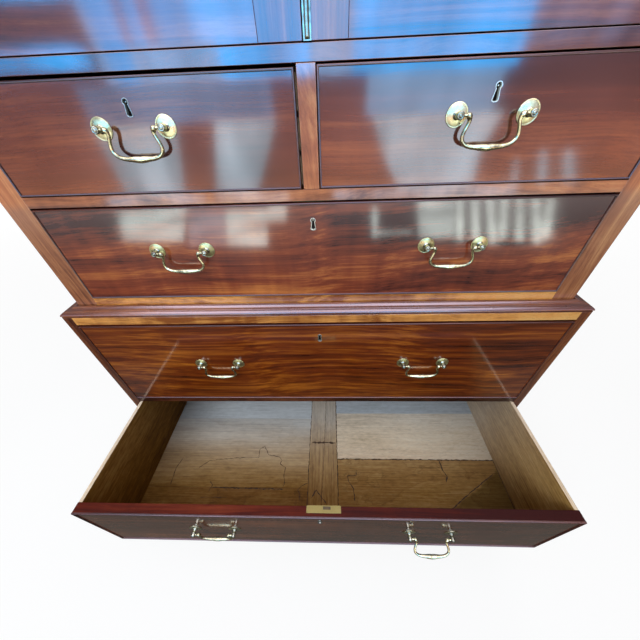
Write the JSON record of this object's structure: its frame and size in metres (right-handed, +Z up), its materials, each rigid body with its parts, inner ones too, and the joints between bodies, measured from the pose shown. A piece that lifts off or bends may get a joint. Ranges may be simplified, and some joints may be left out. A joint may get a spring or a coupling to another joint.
{
  "type": "linen press",
  "caption": "Two-part linen press: doored cupboard on a chest of long and short drawers, with a waist moulding, bracket feet and swing bail handles.",
  "frame": {"origin": "middle of the footprint at floor level, with the bottom drawer drawn out as pictured", "axes": "+Z up, -Y out of the drawer fronts, +X to the right of someone facing the press"},
  "size_m": [1.3, 0.9288, 2.1635],
  "materials": {
    "mahogany": "polished figured mahogany",
    "rail_mahogany": "polished pale straight-grained mahogany",
    "carcase_wood": "plain unpolished softwood",
    "oak": "dry unpolished oak",
    "brass": "lacquered brass, lightly worn"
  },
  "bodies": {
    "carcase": {"base_plinth": "mahogany", "lower_side_left": "mahogany", "lower_side_right": "mahogany", "lower_bottom": "rail_mahogany", "lower_dust_board": "rail_mahogany", "lower_top": "rail_mahogany", "lower_back": "carcase_wood", "waist_moulding": "mahogany", "upper_side_left": "mahogany", "upper_side_right": "mahogany", "upper_bottom": "rail_mahogany", "upper_dust_board": "rail_mahogany", "short_divider": "rail_mahogany", "cupboard_floor": "rail_mahogany", "upper_top": "rail_mahogany", "upper_back": "carcase_wood", "cornice": "mahogany"},
    "door_left": {"door_left_frame": "mahogany", "door_left_panel": "mahogany"},
    "door_right": {"door_right_frame": "mahogany", "door_right_panel": "mahogany", "door_astragal": "brass"},
    "tray_lower": {"tray_lower": "oak"},
    "tray_upper": {"tray_upper": "oak"},
    "short_left_drawer": {"short_left_front": "mahogany", "short_left_box": "oak", "short_left_handle_post_left": "brass", "short_left_handle_post_right": "brass"},
    "short_left_handle_bail": {"short_left_handle_bail": "brass"},
    "short_right_drawer": {"short_right_front": "mahogany", "short_right_box": "oak", "short_right_handle_post_left": "brass", "short_right_handle_post_right": "brass"},
    "short_right_handle_bail": {"short_right_handle_bail": "brass"},
    "upper_long_drawer": {"upper_long_front": "mahogany", "upper_long_box": "oak", "upper_long_left_post_left": "brass", "upper_long_left_post_right": "brass", "upper_long_right_post_left": "brass", "upper_long_right_post_right": "brass"},
    "upper_long_left_bail": {"upper_long_left_bail": "brass"},
    "upper_long_right_bail": {"upper_long_right_bail": "brass"},
    "middle_long_drawer": {"middle_long_front": "mahogany", "middle_long_box": "oak", "middle_long_left_post_left": "brass", "middle_long_left_post_right": "brass", "middle_long_right_post_left": "brass", "middle_long_right_post_right": "brass"},
    "middle_long_left_bail": {"middle_long_left_bail": "brass"},
    "middle_long_right_bail": {"middle_long_right_bail": "brass"},
    "bottom_long_drawer": {"bottom_long_front": "mahogany", "bottom_long_box": "oak", "bottom_long_panel": "oak", "bottom_long_muntin": "oak", "bottom_long_left_post_left": "brass", "bottom_long_left_post_right": "brass", "bottom_long_right_post_left": "brass", "bottom_long_right_post_right": "brass"},
    "bottom_long_left_bail": {"bottom_long_left_bail": "brass"},
    "bottom_long_right_bail": {"bottom_long_right_bail": "brass"}
  },
  "joints": [
    {"name": "door_left_hinge", "type": "hinge", "parent": "carcase", "child": "door_left", "pos_m": [-0.5438, -0.08457, 1.6322], "axis": [0, 0, -1], "range_deg": [0, 165]},
    {"name": "door_right_hinge", "type": "hinge", "parent": "carcase", "child": "door_right", "pos_m": [0.5438, -0.08457, 1.6322], "axis": [0, 0, 1], "range_deg": [0, 165]},
    {"name": "tray_lower_slide", "type": "slide", "parent": "carcase", "child": "tray_lower", "axis": [0, -1, 0], "range_m": [0, 0.012]},
    {"name": "tray_upper_slide", "type": "slide", "parent": "carcase", "child": "tray_upper", "axis": [0, -1, 0], "range_m": [0, 0.012]},
    {"name": "short_left_slide", "type": "slide", "parent": "carcase", "child": "short_left_drawer", "axis": [0, -1, 0], "range_m": [0, 0.4]},
    {"name": "short_left_handle_bail_pivot", "type": "hinge", "parent": "short_left_drawer", "child": "short_left_handle_bail", "pos_m": [-0.279, -0.09477, 1.1156], "axis": [-1, 0, 0], "range_deg": [-12, 160]},
    {"name": "short_right_slide", "type": "slide", "parent": "carcase", "child": "short_right_drawer", "axis": [0, -1, 0], "range_m": [0, 0.4]},
    {"name": "short_right_handle_bail_pivot", "type": "hinge", "parent": "short_right_drawer", "child": "short_right_handle_bail", "pos_m": [0.279, -0.09477, 1.1156], "axis": [-1, 0, 0], "range_deg": [-12, 160]},
    {"name": "upper_long_slide", "type": "slide", "parent": "carcase", "child": "upper_long_drawer", "axis": [0, -1, 0], "range_m": [0, 0.4]},
    {"name": "upper_long_left_bail_pivot", "type": "hinge", "parent": "upper_long_drawer", "child": "upper_long_left_bail", "pos_m": [-0.2785, -0.09477, 0.9057], "axis": [-1, 0, 0], "range_deg": [-12, 160]},
    {"name": "upper_long_right_bail_pivot", "type": "hinge", "parent": "upper_long_drawer", "child": "upper_long_right_bail", "pos_m": [0.2785, -0.09477, 0.9057], "axis": [-1, 0, 0], "range_deg": [-12, 160]},
    {"name": "middle_long_slide", "type": "slide", "parent": "carcase", "child": "middle_long_drawer", "axis": [0, -1, 0], "range_m": [0, 0.43]},
    {"name": "middle_long_left_bail_pivot", "type": "hinge", "parent": "middle_long_drawer", "child": "middle_long_left_bail", "pos_m": [-0.2785, -0.12477, 0.58215], "axis": [-1, 0, 0], "range_deg": [-12, 160]},
    {"name": "middle_long_right_bail_pivot", "type": "hinge", "parent": "middle_long_drawer", "child": "middle_long_right_bail", "pos_m": [0.2785, -0.12477, 0.58215], "axis": [-1, 0, 0], "range_deg": [-12, 160]},
    {"name": "bottom_long_slide", "type": "slide", "parent": "carcase", "child": "bottom_long_drawer", "axis": [0, -1, 0], "range_m": [-0.3075, 0.1225]},
    {"name": "bottom_long_left_bail_pivot", "type": "hinge", "parent": "bottom_long_drawer", "child": "bottom_long_left_bail", "pos_m": [-0.2785, -0.43227, 0.2823], "axis": [-1, 0, 0], "range_deg": [-12, 160]},
    {"name": "bottom_long_right_bail_pivot", "type": "hinge", "parent": "bottom_long_drawer", "child": "bottom_long_right_bail", "pos_m": [0.2785, -0.43227, 0.2823], "axis": [-1, 0, 0], "range_deg": [-54, 118]}
  ]
}
